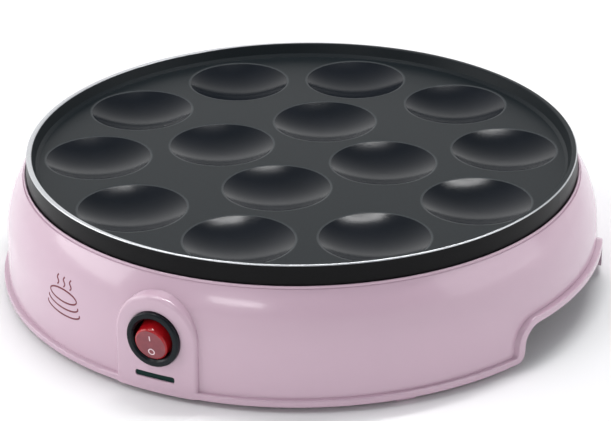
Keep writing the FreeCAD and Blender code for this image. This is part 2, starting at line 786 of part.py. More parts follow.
def heat_shield():
    """Pressed sheet dish that keeps the heat off the housing."""
    lip = d.shield_radius - d.shield_sheet
    dish = revolved([
        (SHIELD_HOLE, shield_foot), (d.shield_radius - 1.5, shield_foot),
        (d.shield_radius, shield_foot + 1.5), (d.shield_radius, shield_foot + 4.6),
        (lip, shield_foot + 4.6), (lip, shield_foot + 1.7),
        (lip - 1.1, d.boss_foot), (SHIELD_HOLE, d.boss_foot)])
    holes = [place_polar(cylinder(2.2, 4.0), d.boss_pitch, azimuth, shield_foot - 1)
             for azimuth in boss_azimuths]
    holes += [place(cylinder(d.element_radius + 1.5, 4.0), side * leg_spot.x,
                    leg_spot.y, shield_foot - 1) for side in (-1, 1)]
    holes.append(place_polar(cylinder(1.6, 4.0), EARTH_PITCH, EARTH_AZIMUTH,
                             shield_foot - 1))
    holes += [place_polar(cylinder(1.6, 4.0), FUSE_PITCH + side * FUSE_RIVET,
                          FUSE_AZIMUTH, shield_foot - 1) for side in (-1, 1)]
    return keep(cut(dish, *holes), "heat_shield")


def clamp_brackets():
    """Four angled straps that hold the plate down on the housing's ledge."""
    top = d.ledge_top - d.ledge_thickness
    foot = shield_foot - d.bracket_sheet
    riser = d.ledge_inner + 0.6
    outline = [(97.5, foot), (riser + d.bracket_sheet, foot),
               (riser + d.bracket_sheet, top - d.bracket_sheet),
               (riser + 5.0, top - d.bracket_sheet), (riser + 5.0, top),
               (riser, top), (riser, shield_foot), (97.5, shield_foot)]
    brackets = []
    for azimuth in boss_azimuths:
        strap = padded(outline, 14.0, "XZ_Plane")
        turn = Rotation(Vector(0, 0, 1), azimuth)
        strap.Placement = Placement(turn.multVec(Vector(0, 7.0, 0)), turn)
        hole = place_polar(cylinder(2.1, 4.0), d.boss_pitch, azimuth, foot - 1)
        brackets.append(cut(strap, hole))
    return keep(group(*brackets), "clamp_brackets")


def pan_screw(shank_radius, length, head_radius, head_height):
    """A screw that points up, its head's lower face at the local origin."""
    head = cylinder(head_radius, head_height)
    shank = place(cylinder(shank_radius, length + 0.5), z=head_height - 0.5)
    slot = centred_block(3 * float(head_radius), 1.0, 1.0, z=-0.1)
    return cut(fuse(head, shank), slot)


def plate_screws():
    """Screws and spring washers that fix brackets and shield to the plate."""
    foot = shield_foot - d.bracket_sheet - WASHER
    washers = [place_polar(cut(cylinder(3.9, WASHER),
                               place(cylinder(2.0, 2.0), z=-0.5)),
                           d.boss_pitch, azimuth, foot) for azimuth in boss_azimuths]
    screws = [place_polar(pan_screw(d.thread_radius, 9.0, 3.7, SCREW_HEAD),
                          d.boss_pitch, azimuth, foot - SCREW_HEAD)
              for azimuth in boss_azimuths]
    keep(group(*washers), "spring_washers")
    return keep(group(*screws), "plate_screws")


def thermostat():
    """Snap-disc thermostat that is screwed to the middle of the plate."""
    pad_foot = float(web_foot) - SENSOR_PAD
    turn = Rotation(Vector(0, 0, 1), SENSOR_AZIMUTHS[0])
    bar = block(32.0, 8.6, 0.8)
    bar.Placement = Placement(Vector(0, 0, pad_foot - 0.8)
                              + turn.multVec(Vector(-16.0, -4.3, 0)), turn)
    cap = place(cylinder(8.2, 3.4), z=pad_foot - 3.4)
    holes = [place_polar(cylinder(1.6, 4.0), SENSOR_EAR, azimuth, pad_foot - 2)
             for azimuth in SENSOR_AZIMUTHS]
    keep(cut(fuse(bar, cap), *holes), "thermostat_cap")
    body_foot = pad_foot - 3.4 - 7.0
    case = place(cylinder(7.7, 7.0), z=body_foot)
    tabs, slots = [], []
    for side in (-1, 1):
        tabs.append(centred_block(0.8, 4.8, 10.0, side * 4.0, 0.0, body_foot - 7.5))
        slots.append(centred_block(0.8, 4.8, 3.0, side * 4.0, 0.0, body_foot - 0.5))
    keep(cut(case, *slots), "thermostat_body")
    keep(group(*tabs), "thermostat_tabs")
    screws = [place_polar(pan_screw(1.3, 4.4, 2.6, 1.8), SENSOR_EAR, azimuth,
                          pad_foot - 0.8 - 1.8) for azimuth in SENSOR_AZIMUTHS]
    keep(group(*screws), "thermostat_screws")


def thermal_fuse():
    """Thermal cut-off in a woven sleeve, strapped under the shield."""
    turn = Rotation(Vector(0, 0, 1), FUSE_AZIMUTH)
    centre = polar(FUSE_PITCH, FUSE_AZIMUTH, float(shield_foot) - FUSE_DROP)
    along = turn.multVec(Vector(0, 1, 0))
    lay = Rotation(Vector(0, 0, 1), along)
    parts = {}
    for label, radius, length in (("core", 2.0, 36.0), ("sleeve", 3.0, 30.0)):
        rod = cylinder(radius, length)
        rod.Placement = Placement(centre - along * (length / 2), lay)
        parts[label] = rod
    bore = cylinder(2.0, 40.0)
    bore.Placement = Placement(centre - along * 20.0, lay)
    keep(parts["core"], "thermal_fuse")
    keep(cut(parts["sleeve"], bore), "fuse_sleeve")


def fuse_strap():
    """Strap over the fuse's sleeve, riveted to the shield on both sides."""
    top, thick, width = float(shield_foot), 0.7, 7.0
    saddle = turned_block(8.7, width, thick, FUSE_PITCH, FUSE_AZIMUTH, top - 7.2)
    walls = [turned_block(thick, width, 7.2, FUSE_PITCH + side * 4.0, FUSE_AZIMUTH,
                          top - 7.2) for side in (-1, 1)]
    feet = [turned_block(5.0, width, thick, FUSE_PITCH + side * FUSE_RIVET,
                         FUSE_AZIMUTH, top - thick) for side in (-1, 1)]
    holes = [place_polar(cylinder(1.6, 3.0), FUSE_PITCH + side * FUSE_RIVET,
                         FUSE_AZIMUTH, top - 2) for side in (-1, 1)]
    keep(cut(fuse(saddle, *walls, *feet), *holes), "fuse_strap")
    rivets = [fuse(place_polar(cylinder(1.6, 2.6), FUSE_PITCH + side * FUSE_RIVET,
                               FUSE_AZIMUTH, top - 1.6),
                   place_polar(cylinder(2.0, 0.9), FUSE_PITCH + side * FUSE_RIVET,
                               FUSE_AZIMUTH, top - thick - 0.9)) for side in (-1, 1)]
    return keep(group(*rivets), "fuse_rivets")


insulating_ring()
heating_element()
heat_shield()
clamp_brackets()
plate_screws()
thermostat()
thermal_fuse()
fuse_strap()


# --------------------------------------------------------------- the switch

# Depths are measured from the pad's face, outwards.
PIVOT_DEPTH = -4.7              # rocker's axis
BARREL_FOOT = -13.5             # back of the switch's barrel
TERMINAL_FOOT = -21.0           # ends of the terminals
STEM_FOOT = -6.0                # end of the rocker's stem
PLUNGER_TOP = -3.4              # where the spring meets the plunger
PLUNGER_TIP = -9.15
PLUNGER = 1.3                   # plunger's radius
LEVER_DEPTH = -9.8              # axis of the contact lever, at its underside
LEVER_RIB = 0.5                 # radius of the rib that the lever rocks on
LEVER_TILT = 5.0
ROCKER_SKIRT = 1.5              # rocker's wall behind its axis
ROCKER_ROUND = 1.0              # rounded edge of the rocker's face
LAMP_DEPTH = -9.2
TAB_SPOTS = (-6.0, 0.0, 6.0)    # terminals up the pad from the switch's centre


def switch_housing():
    """Black bezel and barrel that snap into the housing's round hole."""
    outer, barrel = d.bezel_diameter / 2, d.switch_hole / 2 - 0.05
    opening = d.rocker_opening / 2
    rim = d.bezel_rise
    turned = revolved([
        (0, BARREL_FOOT), (barrel, BARREL_FOOT), (barrel, -SEAT_DEPTH),
        (outer, -SEAT_DEPTH), (outer, rim - 0.9, 0.9), (outer - 0.9, rim),
        (opening + 0.8, rim), (opening, rim - 0.8), (opening, BARREL_FOOT + 1.5),
        (0, BARREL_FOOT + 1.5)])
    on_switch(turned)
    clips = []
    for side in (-1, 1):
        clip = block(1.6, 5.0, 5.0)
        clip.Placement = tilted(-SEAT_DEPTH - PANEL - 5.2, -2.5, side * 9.9 - 0.8)
        clips.append(clip)
    bore = cylinder(d.pivot_radius + d.running_gap, 30.0)
    bore.Placement = along_x(-15.0, PIVOT_DEPTH)
    slots = [switch_tab(BARREL_FOOT - 1, BARREL_FOOT + 2.5, spot)
             for spot in TAB_SPOTS]
    return keep(cut(fuse(turned, *clips), bore, *slots), "switch_housing")


def along_x(start, depth, along=0.0):
    """A place on the switch's axes whose +Z runs along X from a start."""
    base = tilted(depth, along, start)
    return Placement(base.Base, Rotation(Vector(0, 1, 0), 90.0))


def switch_tab(foot, top, along):
    """A flat terminal blade from one depth to another."""
    blade = block(4.8, 0.8, top - foot)
    blade.Placement = tilted(foot, along - 0.4, -2.4)
    return blade


def rocker():
    """Red rocker cap on two trunnions, at rest with its upper half out."""
    waist, brow = d.rocker_waist / 2, d.rocker_face / 2
    face = d.bezel_rise + d.rocker_rise
    cap = revolved([(0, PIVOT_DEPTH - ROCKER_SKIRT), (waist, PIVOT_DEPTH - ROCKER_SKIRT),
                    (waist, PIVOT_DEPTH), (brow, face - ROCKER_ROUND, ROCKER_ROUND),
                    (brow - ROCKER_ROUND, face), (0, face)])
    hollow = place(cylinder(brow - 1.6, 20.0), z=face - 2.0 - 20.0)
    stem = place(cylinder(2.2, face - 1.5 - STEM_FOOT), z=STEM_FOOT)
    stubs = [cylinder(d.pivot_radius, 2.9) for _ in (-1, 1)]
    for stub, start in zip(stubs, (-9.9, 7.0)):
        stub.Placement = Placement(Vector(start, 0, PIVOT_DEPTH),
                                   Rotation(Vector(0, 1, 0), 90.0))
    bore = place(cylinder(PLUNGER + 0.1, spring_top() - STEM_FOOT + 1), z=STEM_FOOT - 1)
    solid = cut(fuse(cut(cap, hollow), stem, *stubs), bore)
    return swing(solid, "switch_rocker", float(d.rocker_swing), PIVOT_DEPTH)


def spring_top():
    """Depth of the blind end of the bore in the rocker's stem."""
    return float(d.bezel_rise + d.rocker_rise) - 3.5


def swing(obj, label, degrees, depth):
    """Place a piece of the switch, tilted about the X line at a depth."""
    pivot = Placement(Vector(0, 0, depth), Rotation(Vector(1, 0, 0), degrees))
    obj.Placement = tilted().multiply(pivot).multiply(
        Placement(Vector(0, 0, -depth), Rotation()))
    return keep(obj, label)


def plunger_and_spring():
    """Rounded pin in the rocker's stem and the spring that pushes it down."""
    pin = place(cylinder(PLUNGER, PLUNGER_TOP - PLUNGER_TIP - PLUNGER),
                z=PLUNGER_TIP + PLUNGER)
    tip = doc.addObject("Part::Sphere", "Tip")
    tip.Radius = PLUNGER
    place(tip, z=PLUNGER_TIP + PLUNGER)
    swing(fuse(pin, tip), "contact_plunger", float(d.rocker_swing), PIVOT_DEPTH)
    wire_radius, coil = 0.18, 0.95
    helix = Part.makeHelix(0.7, spring_top() - PLUNGER_TOP - 2 * wire_radius, coil)
    ring = Part.Wire(Part.makeCircle(wire_radius, Vector(coil, 0, 0), Vector(0, 1, 0)))
    spring = plain(Part.Wire(helix).makePipeShell([ring], True, True), "Spring")
    spring.Placement = Placement(Vector(0, 0, PLUNGER_TOP + wire_radius), Rotation())
    swing(group(spring), "plunger_spring", float(d.rocker_swing), PIVOT_DEPTH)


def contact_lever():
    """Contact that rocks from one outer terminal to the other on its rib."""
    strip = centred_block(3.0, 12.6, 0.6, z=LEVER_DEPTH)
    rib = cylinder(LEVER_RIB, 3.0)
    rib.Placement = Placement(Vector(-1.5, 0, LEVER_DEPTH),
                              Rotation(Vector(0, 1, 0), 90.0))
    return swing(fuse(strip, rib), "contact_lever", -LEVER_TILT, LEVER_DEPTH)


def switch_inside():
    """Terminals with their posts, and the lamp behind the rocker."""
    tops = (LEVER_DEPTH - 0.62, LEVER_DEPTH - LEVER_RIB - 0.05, LEVER_DEPTH - 0.62)
    blades = [switch_tab(TERMINAL_FOOT, top, spot)
              for top, spot in zip(tops, TAB_SPOTS)]
    keep(group(*blades), "switch_terminals")
    lamp = cylinder(1.2, 7.0)
    seat = tilted(LAMP_DEPTH, -3.5, 5.0)
    up_pad = seat.Rotation.multiply(Rotation(Vector(1, 0, 0), -90.0))
    lamp.Placement = Placement(seat.Base, up_pad)
    keep(lamp, "rocker_lamp")
    sleeves = []
    for spot in TAB_SPOTS:
        sleeve = block(7.2, 3.0, 12.0)
        sleeve.Placement = tilted(TERMINAL_FOOT - 5.0, spot - 1.5, -3.6)
        sleeves.append(cut(sleeve, switch_tab(TERMINAL_FOOT - 0.05,
                                              TERMINAL_FOOT + 8.0, spot)))
    keep(group(*sleeves), "switch_connectors")


switch_housing()
rocker()
plunger_and_spring()
contact_lever()
switch_inside()


# ------------------------------------------------------------- the indicator

LEAD_SPOT = 5.0                 # the indicator's leads to each side of its middle


def indicator():
    """Green window bar, the black holder behind it and its lamp."""
    setback, behind_wall = 0.7, 0.5
    back = -float(slot_face) + PANEL + behind_wall
    bar_depth = PANEL + behind_wall + 1.0 - setback
    bar = window_prism(-0.08, bar_depth)
    bar.Placement.Base.y += setback + bar_depth
    low = float(d.slot_height) - float(d.slot_width) / 2
    flange = centred_block(20.6, 1.0, d.slot_width + 2.0, 0, back + 0.5, low - 1.0)
    keep(fuse(bar, flange), "indicator_lens")
    case = centred_block(22.0, 8.0, 5.2, 0, back + 5.0, low - 1.25)
    cavity = centred_block(19.0, 6.6, 3.6, 0, back + 4.2, low - 0.45)
    bores = [lying(cylinder(0.9, 12.0), back + 3.0, d.slot_height, side * LEAD_SPOT)
             for side in (-1, 1)]
    keep(cut(case, cavity, *bores), "indicator_holder")
    lamp = cylinder(1.6, 13.0)
    lamp.Placement = Placement(Vector(-6.5, back + 4.0, float(d.slot_height)),
                               Rotation(Vector(0, 1, 0), 90.0))
    keep(lamp, "indicator_lamp")
    return back + 8.0


indicator_back = indicator()


# ------------------------------------------- bottom cover, feet and inlet

POCKET_HALF = 45.6              # half width of a grip pocket in the cover
POCKET_ROOF = 17.6              # its ceiling, just above the grip's edge
POCKET_WALL = 1.8
VENTS, VENT_WIDTH = 24, 3.2
BLOCK_SPOTS = (-12.0, -4.0, 4.0, 12.0)   # live, neutral, lamps' neutral, earth
BLOCK_BORE = 2.2
block_axis = cover_top + 5.5


def bottom_cover():
    """Vented floor of the housing with two recessed pockets for the fingers."""
    foot, sheet_top = d.cover_foot, cover_top
    disc = place(cylinder(d.cover_radius, d.cover_sheet), z=foot)
    boxes, voids = [], []
    depth = float(d.cover_radius) - float(d.grip_inset) + 6.0
    for side in (-1, 1):
        inset = float(d.grip_inset)
        centre = side * (inset + depth / 2)
        boxes.append(centred_block(depth + 2 * POCKET_WALL, 2 * (POCKET_HALF + POCKET_WALL),
                                   POCKET_ROOF + POCKET_WALL - float(foot), centre, 0, foot))
        voids.append(centred_block(depth + 40.0, 2 * POCKET_HALF, POCKET_ROOF,
                                   side * (inset + depth / 2 + 20.0), 0, 0))
    rim = place(cylinder(d.cover_radius, 40.0), z=foot)
    pockets = common(group(*boxes), rim)
    slots = []
    for index in range(VENTS):
        azimuth = (index + 0.5) * FULL_TURN / VENTS
        slots.append(turned_block(34.0, VENT_WIDTH, 6.0, 52.0, azimuth, float(foot) - 1))
    holes = [place_polar(cylinder(1.8, 8.0), d.post_pitch - 1.0, azimuth, foot - 1)
             for azimuth in COVER_SCREW_AZIMUTHS]
    sinks = [place_polar(cylinder(3.4, 2.0), d.post_pitch - 1.0, azimuth, foot - 1)
             for azimuth in COVER_SCREW_AZIMUTHS]
    return keep(cut(fuse(disc, pockets), *voids, *slots, *holes, *sinks),
                "bottom_cover")


def cover_screws():
    """Screws that hold the cover to the housing's posts."""
    screws = [place_polar(pan_screw(1.3, 12.0, 3.2, 1.8), d.post_pitch - 1.0, azimuth,
                          d.cover_foot + 1.0 - 1.8) for azimuth in COVER_SCREW_AZIMUTHS]
    return keep(group(*screws), "cover_screws")


def foot_pads():
    """Rubber pads pressed into the moulded feet."""
    pads = [place_polar(cylinder(PAD_RADIUS, 1.9), foot_pitch, azimuth, 0.0)
            for azimuth in FOOT_AZIMUTHS]
    return keep(group(*pads), "foot_pads")


def cord_inlet():
    """Bush at the back that the mains cord would pass through."""
    neck, bore = d.inlet_neck / 2, d.inlet_bore / 2
    flange = d.inlet_flange / 2
    turned = revolved([
        (bore, -PANEL - 3.0), (neck + 0.9, -PANEL - 3.0), (neck + 0.9, -PANEL - 0.05),
        (neck, -PANEL - 0.05), (neck, 0), (flange, 0), (flange, 1.4, 0.8),
        (flange - 0.8, 2.2), (neck + 0.6, 2.2), (neck - 0.4, 6.9),
        (bore + 0.5, 6.9), (bore, 6.4)])
    return keep(lying(turned, inlet_face, d.inlet_height), "cord_inlet")


def terminal_block():
    """Four-way block on the cover, with its clamp screws."""
    base = centred_block(34.0, 16.0, 12.0, 0, 92.0, cover_top)
    bores = [lying(cylinder(BLOCK_BORE, 30.0), 80.0, block_axis, spot)
             for spot in BLOCK_SPOTS]
    wells = [place(cylinder(2.1, 8.0), spot, 92.0, block_axis)
             for spot in BLOCK_SPOTS]
    keep(cut(base, *bores, *wells), "terminal_block")
    screws = [place(cylinder(2.0, 4.0), spot, 92.0, block_axis + 2.5)
              for spot in BLOCK_SPOTS]
    keep(group(*screws), "block_screws")


bottom_cover()
cover_screws()
foot_pads()
cord_inlet()
terminal_block()


# ------------------------------------------------------------------ wiring

CORE = 1.1                      # insulated wire, half its diameter
LEAD = 0.7                      # the indicator's thinner leads
BLOCK_MOUTH = 86.0              # wires end just inside the terminal block
FLOOR_RUN = 10.0                # height of the wires that lie over the cover
TAB_END = 25.8                  # just under the thermostat's tabs
PIN_END = 21.8                  # just under the element's pins
FUSE_END = 18.2                 # from the fuse's middle to a wire's end


def wire(label, points, radius=CORE, bend=5.0):
    """One insulated wire through its points."""
    return keep(plain(tube_along(points, radius, bend), "Wire"), label)


def behind_switch(along):
    """Where a wire leaves the connector on one of the switch's terminals."""
    return tilted(TERMINAL_FOOT - 5.3, along).Base


def wiring():
    """Every wire of the circuit, from the terminal block round to it again."""
    axis_height = float(block_axis)
    low, middle, high = [behind_switch(spot) for spot in TAB_SPOTS]
    turn = Rotation(Vector(0, 0, 1), FUSE_AZIMUTH)
    fuse_middle = polar(FUSE_PITCH, FUSE_AZIMUTH, float(shield_foot) - FUSE_DROP)
    tangent = turn.multVec(Vector(0, 1, 0))
    fuse_front = fuse_middle + tangent * FUSE_END
    fuse_rear = fuse_middle - tangent * FUSE_END
    pin_x, pin_y = leg_spot.x, leg_spot.y
    live, neutral, lamps, earth = BLOCK_SPOTS

    wire("wire_live", [
        (live, BLOCK_MOUTH, axis_height), (live, 74, axis_height),
        (-34, 52, FLOOR_RUN), (-34, -40, FLOOR_RUN),
        (0, middle.y + 22, middle.z), (0, middle.y, middle.z)])
    wire("wire_switched", [
        (0, low.y, low.z), (0, low.y + 14, low.z), (-12, -60, 12), (-4, -20, 12),
        (-4, 0, 12), (-4, 0, TAB_END)])
    wire("wire_heat", [
        (4, 1.3, TAB_END), (4, 1.3, 17), (-24, -12, 17), (-60, -14, 26),
        tuple(fuse_front + tangent * 14), tuple(fuse_front)])
    wire("wire_element", [
        tuple(fuse_rear), tuple(fuse_rear - tangent * 10 - Vector(0, 0, 2)),
        (-22, 58, 16), (-pin_x, pin_y, 14), (-pin_x, pin_y, PIN_END)], bend=3.5)
    wire("wire_neutral", [
        (neutral, BLOCK_MOUTH, axis_height), (neutral, 78, axis_height),
        (pin_x, pin_y, 14), (pin_x, pin_y, PIN_END)], bend=3.5)
    wire("wire_lamp", [
        (lamps - 1.0, BLOCK_MOUTH, axis_height), (lamps - 1.0, 74, axis_height),
        (40, 48, FLOOR_RUN), (40, -40, FLOOR_RUN),
        (0, high.y + 26, high.z), (0, high.y, high.z)])
    earth_height = float(shield_foot) - 1.5
    earth_spot = polar(EARTH_PITCH, EARTH_AZIMUTH)
    wire("wire_earth", [
        (earth, BLOCK_MOUTH, axis_height), (earth, earth_spot.y, axis_height),
        (earth, earth_spot.y, earth_height),
        (earth_spot.x - 12.4, earth_spot.y, earth_height)])
    start = indicator_back - 2.3
    height = float(d.slot_height)
    leads = [
        [(-LEAD_SPOT, start, height), (-LEAD_SPOT, -104, height), (14, -80, height),
         (14, -14, height), (4, -1.3, 15), (4, -1.3, TAB_END)],
        [(LEAD_SPOT, start, height), (LEAD_SPOT, -100, height), (46, -60, FLOOR_RUN),
         (46, 50, FLOOR_RUN), (lamps + 1.2, 77, axis_height),
         (lamps + 1.2, BLOCK_MOUTH, axis_height)]]
    keep(group(*[plain(tube_along(points, LEAD, 4.0), "Lead") for points in leads]),
         "indicator_leads")


def earth_bond():
    """Ring tab of the earth wire and its screw through the shield."""
    spot = polar(EARTH_PITCH, EARTH_AZIMUTH)
    top = float(shield_foot)
    ring = place(cylinder(4.2, 0.8), spot.x, spot.y, top - 0.8)
    neck = centred_block(12.0, 4.0, 0.8, spot.x - 6.0, spot.y, top - 0.8)
    hole = place(cylinder(1.6, 4.0), spot.x, spot.y, top - 2.0)
    keep(cut(fuse(ring, neck), hole), "earth_tab")
    keep(place(pan_screw(1.5, 3.6, 3.0, 2.0), spot.x, spot.y, top - 0.8 - 2.0),
         "earth_screw")
    nut = place(cylinder(3.1, 1.9), spot.x, spot.y, top + 0.6)
    thread = place(cylinder(1.5, 4.0), spot.x, spot.y, top)
    keep(cut(nut, thread), "earth_nut")


def wire_clips():
    """Saddles on the cover that hold the long wires down."""
    clips = []
    for x, y in ((-34.0, 0.0), (40.0, 0.0), (46.0, -30.0)):
        radius = LEAD if x > 45.0 else CORE
        saddle = centred_block(6.0, 5.0, 6.2, x, y, cover_top)
        bore = lying(cylinder(radius + 0.1, 20.0), y - 10.0, FLOOR_RUN, x)
        clips.append(cut(saddle, bore))
    return keep(group(*clips), "wire_clips")


wiring()
earth_bond()
wire_clips()


# ------------------------------------------------------------------- output

def check_document():
    """Stop if any object failed, or if a sub-part has no sound shape."""
    doc.recompute()
    for obj in doc.Objects:
        if "Invalid" in obj.State or "Error" in obj.State:
            raise RuntimeError(f"{obj.Name} failed: {obj.State}")
    for obj in nodes:
        if obj.Shape.isNull() or not obj.Shape.isValid():
            raise RuntimeError(f"{obj.Label} has no valid shape")


check_document()
os.makedirs("parts", exist_ok=True)
for obj in nodes:
    obj.Shape.exportStep(f"parts/{obj.Label}.step")
    print(f"{obj.Label}: {len(obj.Shape.Solids)} solid(s)")
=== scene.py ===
"""Looks of the round mini-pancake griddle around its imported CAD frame.

Metres, +Z up, switch at -Y, cord inlet at +Y.
"""

import json
import math

import bmesh
import bpy
from mathutils import Matrix, Vector


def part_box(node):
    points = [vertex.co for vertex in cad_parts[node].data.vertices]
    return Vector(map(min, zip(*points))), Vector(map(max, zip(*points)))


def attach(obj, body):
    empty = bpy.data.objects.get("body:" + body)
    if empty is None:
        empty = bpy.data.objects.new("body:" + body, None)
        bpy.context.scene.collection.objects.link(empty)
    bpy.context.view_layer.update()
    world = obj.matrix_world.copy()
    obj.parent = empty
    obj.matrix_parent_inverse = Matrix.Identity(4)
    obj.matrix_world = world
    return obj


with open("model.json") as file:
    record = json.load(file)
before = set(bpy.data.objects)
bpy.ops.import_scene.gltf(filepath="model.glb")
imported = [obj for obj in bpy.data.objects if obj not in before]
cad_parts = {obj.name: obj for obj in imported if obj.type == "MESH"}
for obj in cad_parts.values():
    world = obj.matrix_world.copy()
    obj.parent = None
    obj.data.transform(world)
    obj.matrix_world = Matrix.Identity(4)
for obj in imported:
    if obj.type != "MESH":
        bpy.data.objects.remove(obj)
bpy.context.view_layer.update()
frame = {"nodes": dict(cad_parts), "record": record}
plate_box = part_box("griddle_plate")

MM = 0.001
HOUSING = "housing"
ROCKER = "rocker"


# ------------------------------------------------------------------ materials

class Paint:
    """One node material; its methods add the nodes that the looks share."""

    def __init__(self, name):
        self.material = bpy.data.materials.new(name)
        self.material.use_nodes = True
        self.tree = self.material.node_tree
        self.shader = next(node for node in self.tree.nodes
                           if node.type == "BSDF_PRINCIPLED")
        self.place = self.add("ShaderNodeTexCoord").outputs["Object"]

    def add(self, kind, **settings):
        """A new node with plain settings."""
        node = self.tree.nodes.new(kind)
        for key, value in settings.items():
            setattr(node, key, value)
        return node

    def link(self, source, target):
        self.tree.links.new(source, target)

    def set(self, **values):
        """Plain numbers and colours on the shader's own sockets."""
        for key, value in values.items():
            socket = self.shader.inputs[key.replace("_", " ")]
            socket.default_value = (*value, 1.0) if socket.type == "RGBA" else value
        return self

    def noise(self, scale, detail=3.0, rough=0.5, stretch=None):
        """Smooth noise with so many features per metre, optionally stretched."""
        node = self.add("ShaderNodeTexNoise")
        node.inputs["Scale"].default_value = scale
        node.inputs["Detail"].default_value = detail
        node.inputs["Roughness"].default_value = rough
        source = self.place
        if stretch:
            mapping = self.add("ShaderNodeMapping")
            mapping.inputs["Scale"].default_value = stretch
            self.link(source, mapping.inputs["Vector"])
            source = mapping.outputs["Vector"]
        self.link(source, node.inputs["Vector"])
        return node.outputs["Fac"]

    def spread(self, source, low, high, start=0.3, end=0.7):
        """A value between two numbers, driven by a source between two levels."""
        node = self.add("ShaderNodeMapRange")
        for name, value in (("From Min", start), ("From Max", end),
                            ("To Min", low), ("To Max", high)):
            node.inputs[name].default_value = value
        self.link(source, node.inputs["Value"])
        return node.outputs["Result"]

    def blend(self, source, first, second, start=0.35, end=0.65):
        """A colour between two, driven by a source between two levels."""
        node = self.add("ShaderNodeValToRGB")
        stops = node.color_ramp.elements
        stops[0].position, stops[1].position = start, end
        stops[0].color, stops[1].color = (*first, 1.0), (*second, 1.0)
        self.link(source, node.inputs["Fac"])
        return node.outputs["Color"]

    def mix(self, factor, first, second):
        """Two colour outputs mixed by a factor output."""
        node = self.add("ShaderNodeMix", data_type="RGBA")
        self.link(factor, node.inputs["Factor"])
        self.link(first, node.inputs["A"])
        self.link(second, node.inputs["B"])
        return node.outputs["Result"]

    def product(self, first, second):
        """The product of two values."""
        node = self.add("ShaderNodeMath", operation="MULTIPLY")
        self.link(first, node.inputs[0])
        self.link(second, node.inputs[1])
        return node.outputs["Value"]

    def colour(self, source):
        self.link(source, self.shader.inputs["Base Color"])
        return self

    def roughness(self, source):
        self.link(source, self.shader.inputs["Roughness"])
        return self

    def bump(self, source, height, strength=1.0):
        """Relief of so many metres."""
        node = self.add("ShaderNodeBump")
        node.inputs["Distance"].default_value = height
        node.inputs["Strength"].default_value = strength
        self.link(source, node.inputs["Height"])
        self.link(node.outputs["Normal"], self.shader.inputs["Normal"])
        return self


def shade(colour, factor):
    """A colour made lighter or darker."""
    return tuple(min(channel * factor, 1.0) for channel in colour)


def moulded(name, colour, rough, grain=0.02 * MM):
    """Moulded plastic or rubber: slight drift of colour and a fine grain."""
    paint = Paint(name)
    paint.colour(paint.blend(paint.noise(22.0), shade(colour, 0.94),
                             shade(colour, 1.05)))
    paint.roughness(paint.spread(paint.noise(60.0), rough * 0.9, rough * 1.12))
    return paint.bump(paint.noise(900.0, 2.0), grain, 0.6)


def metal(name, colour, rough, stretch=None):
    """Bare or plated metal with a fine grain, brushed if it is stretched."""
    paint = Paint(name)
    streak = paint.noise(500.0, 3.0, 0.6, stretch)
    paint.colour(paint.blend(streak, shade(colour, 0.86), shade(colour, 1.08)))
    paint.roughness(paint.spread(paint.noise(120.0), rough * 0.8, rough * 1.25))
    paint.bump(streak, 0.01 * MM, 0.5)
    return paint.set(Metallic=1.0)


def housing_pink():
    """Glossy pastel pink moulding."""
    paint = Paint("housing_pink")
    pink = (0.585, 0.412, 0.502)
    paint.colour(paint.blend(paint.noise(9.0), shade(pink, 0.994), shade(pink, 1.006)))
    paint.roughness(paint.spread(paint.noise(45.0), 0.25, 0.262, 0.2, 0.8))
    paint.bump(paint.noise(420.0, 2.0), 0.003 * MM, 0.4)
    return paint.set(Coat_Weight=0.6, Coat_Roughness=0.10, IOR=1.5)


RIM_DRAFT = 0.5 * MM                    # the rim is that much wider at its foot
TRAY_DEPTH = 5.5 * MM                   # from the rim's top to the cooking floor
RIM_RADIUS = plate_box[1][0] - RIM_DRAFT
RIM_TOP = plate_box[1][2]
COOKING_FLOOR = RIM_TOP - TRAY_DEPTH
MOULD_ZONE = RIM_RADIUS - 5.0 * MM      # every mould lies inside this radius
RIM_HIGHLIGHT_BAND = 0.60 * MM                        # painted highlight in a bright metal colour, in from the rim's outer edge
EXTRA_LEFT_HIGHLIGHT = 1.75 * MM                  # more of the painted highlight at the far left of the rim
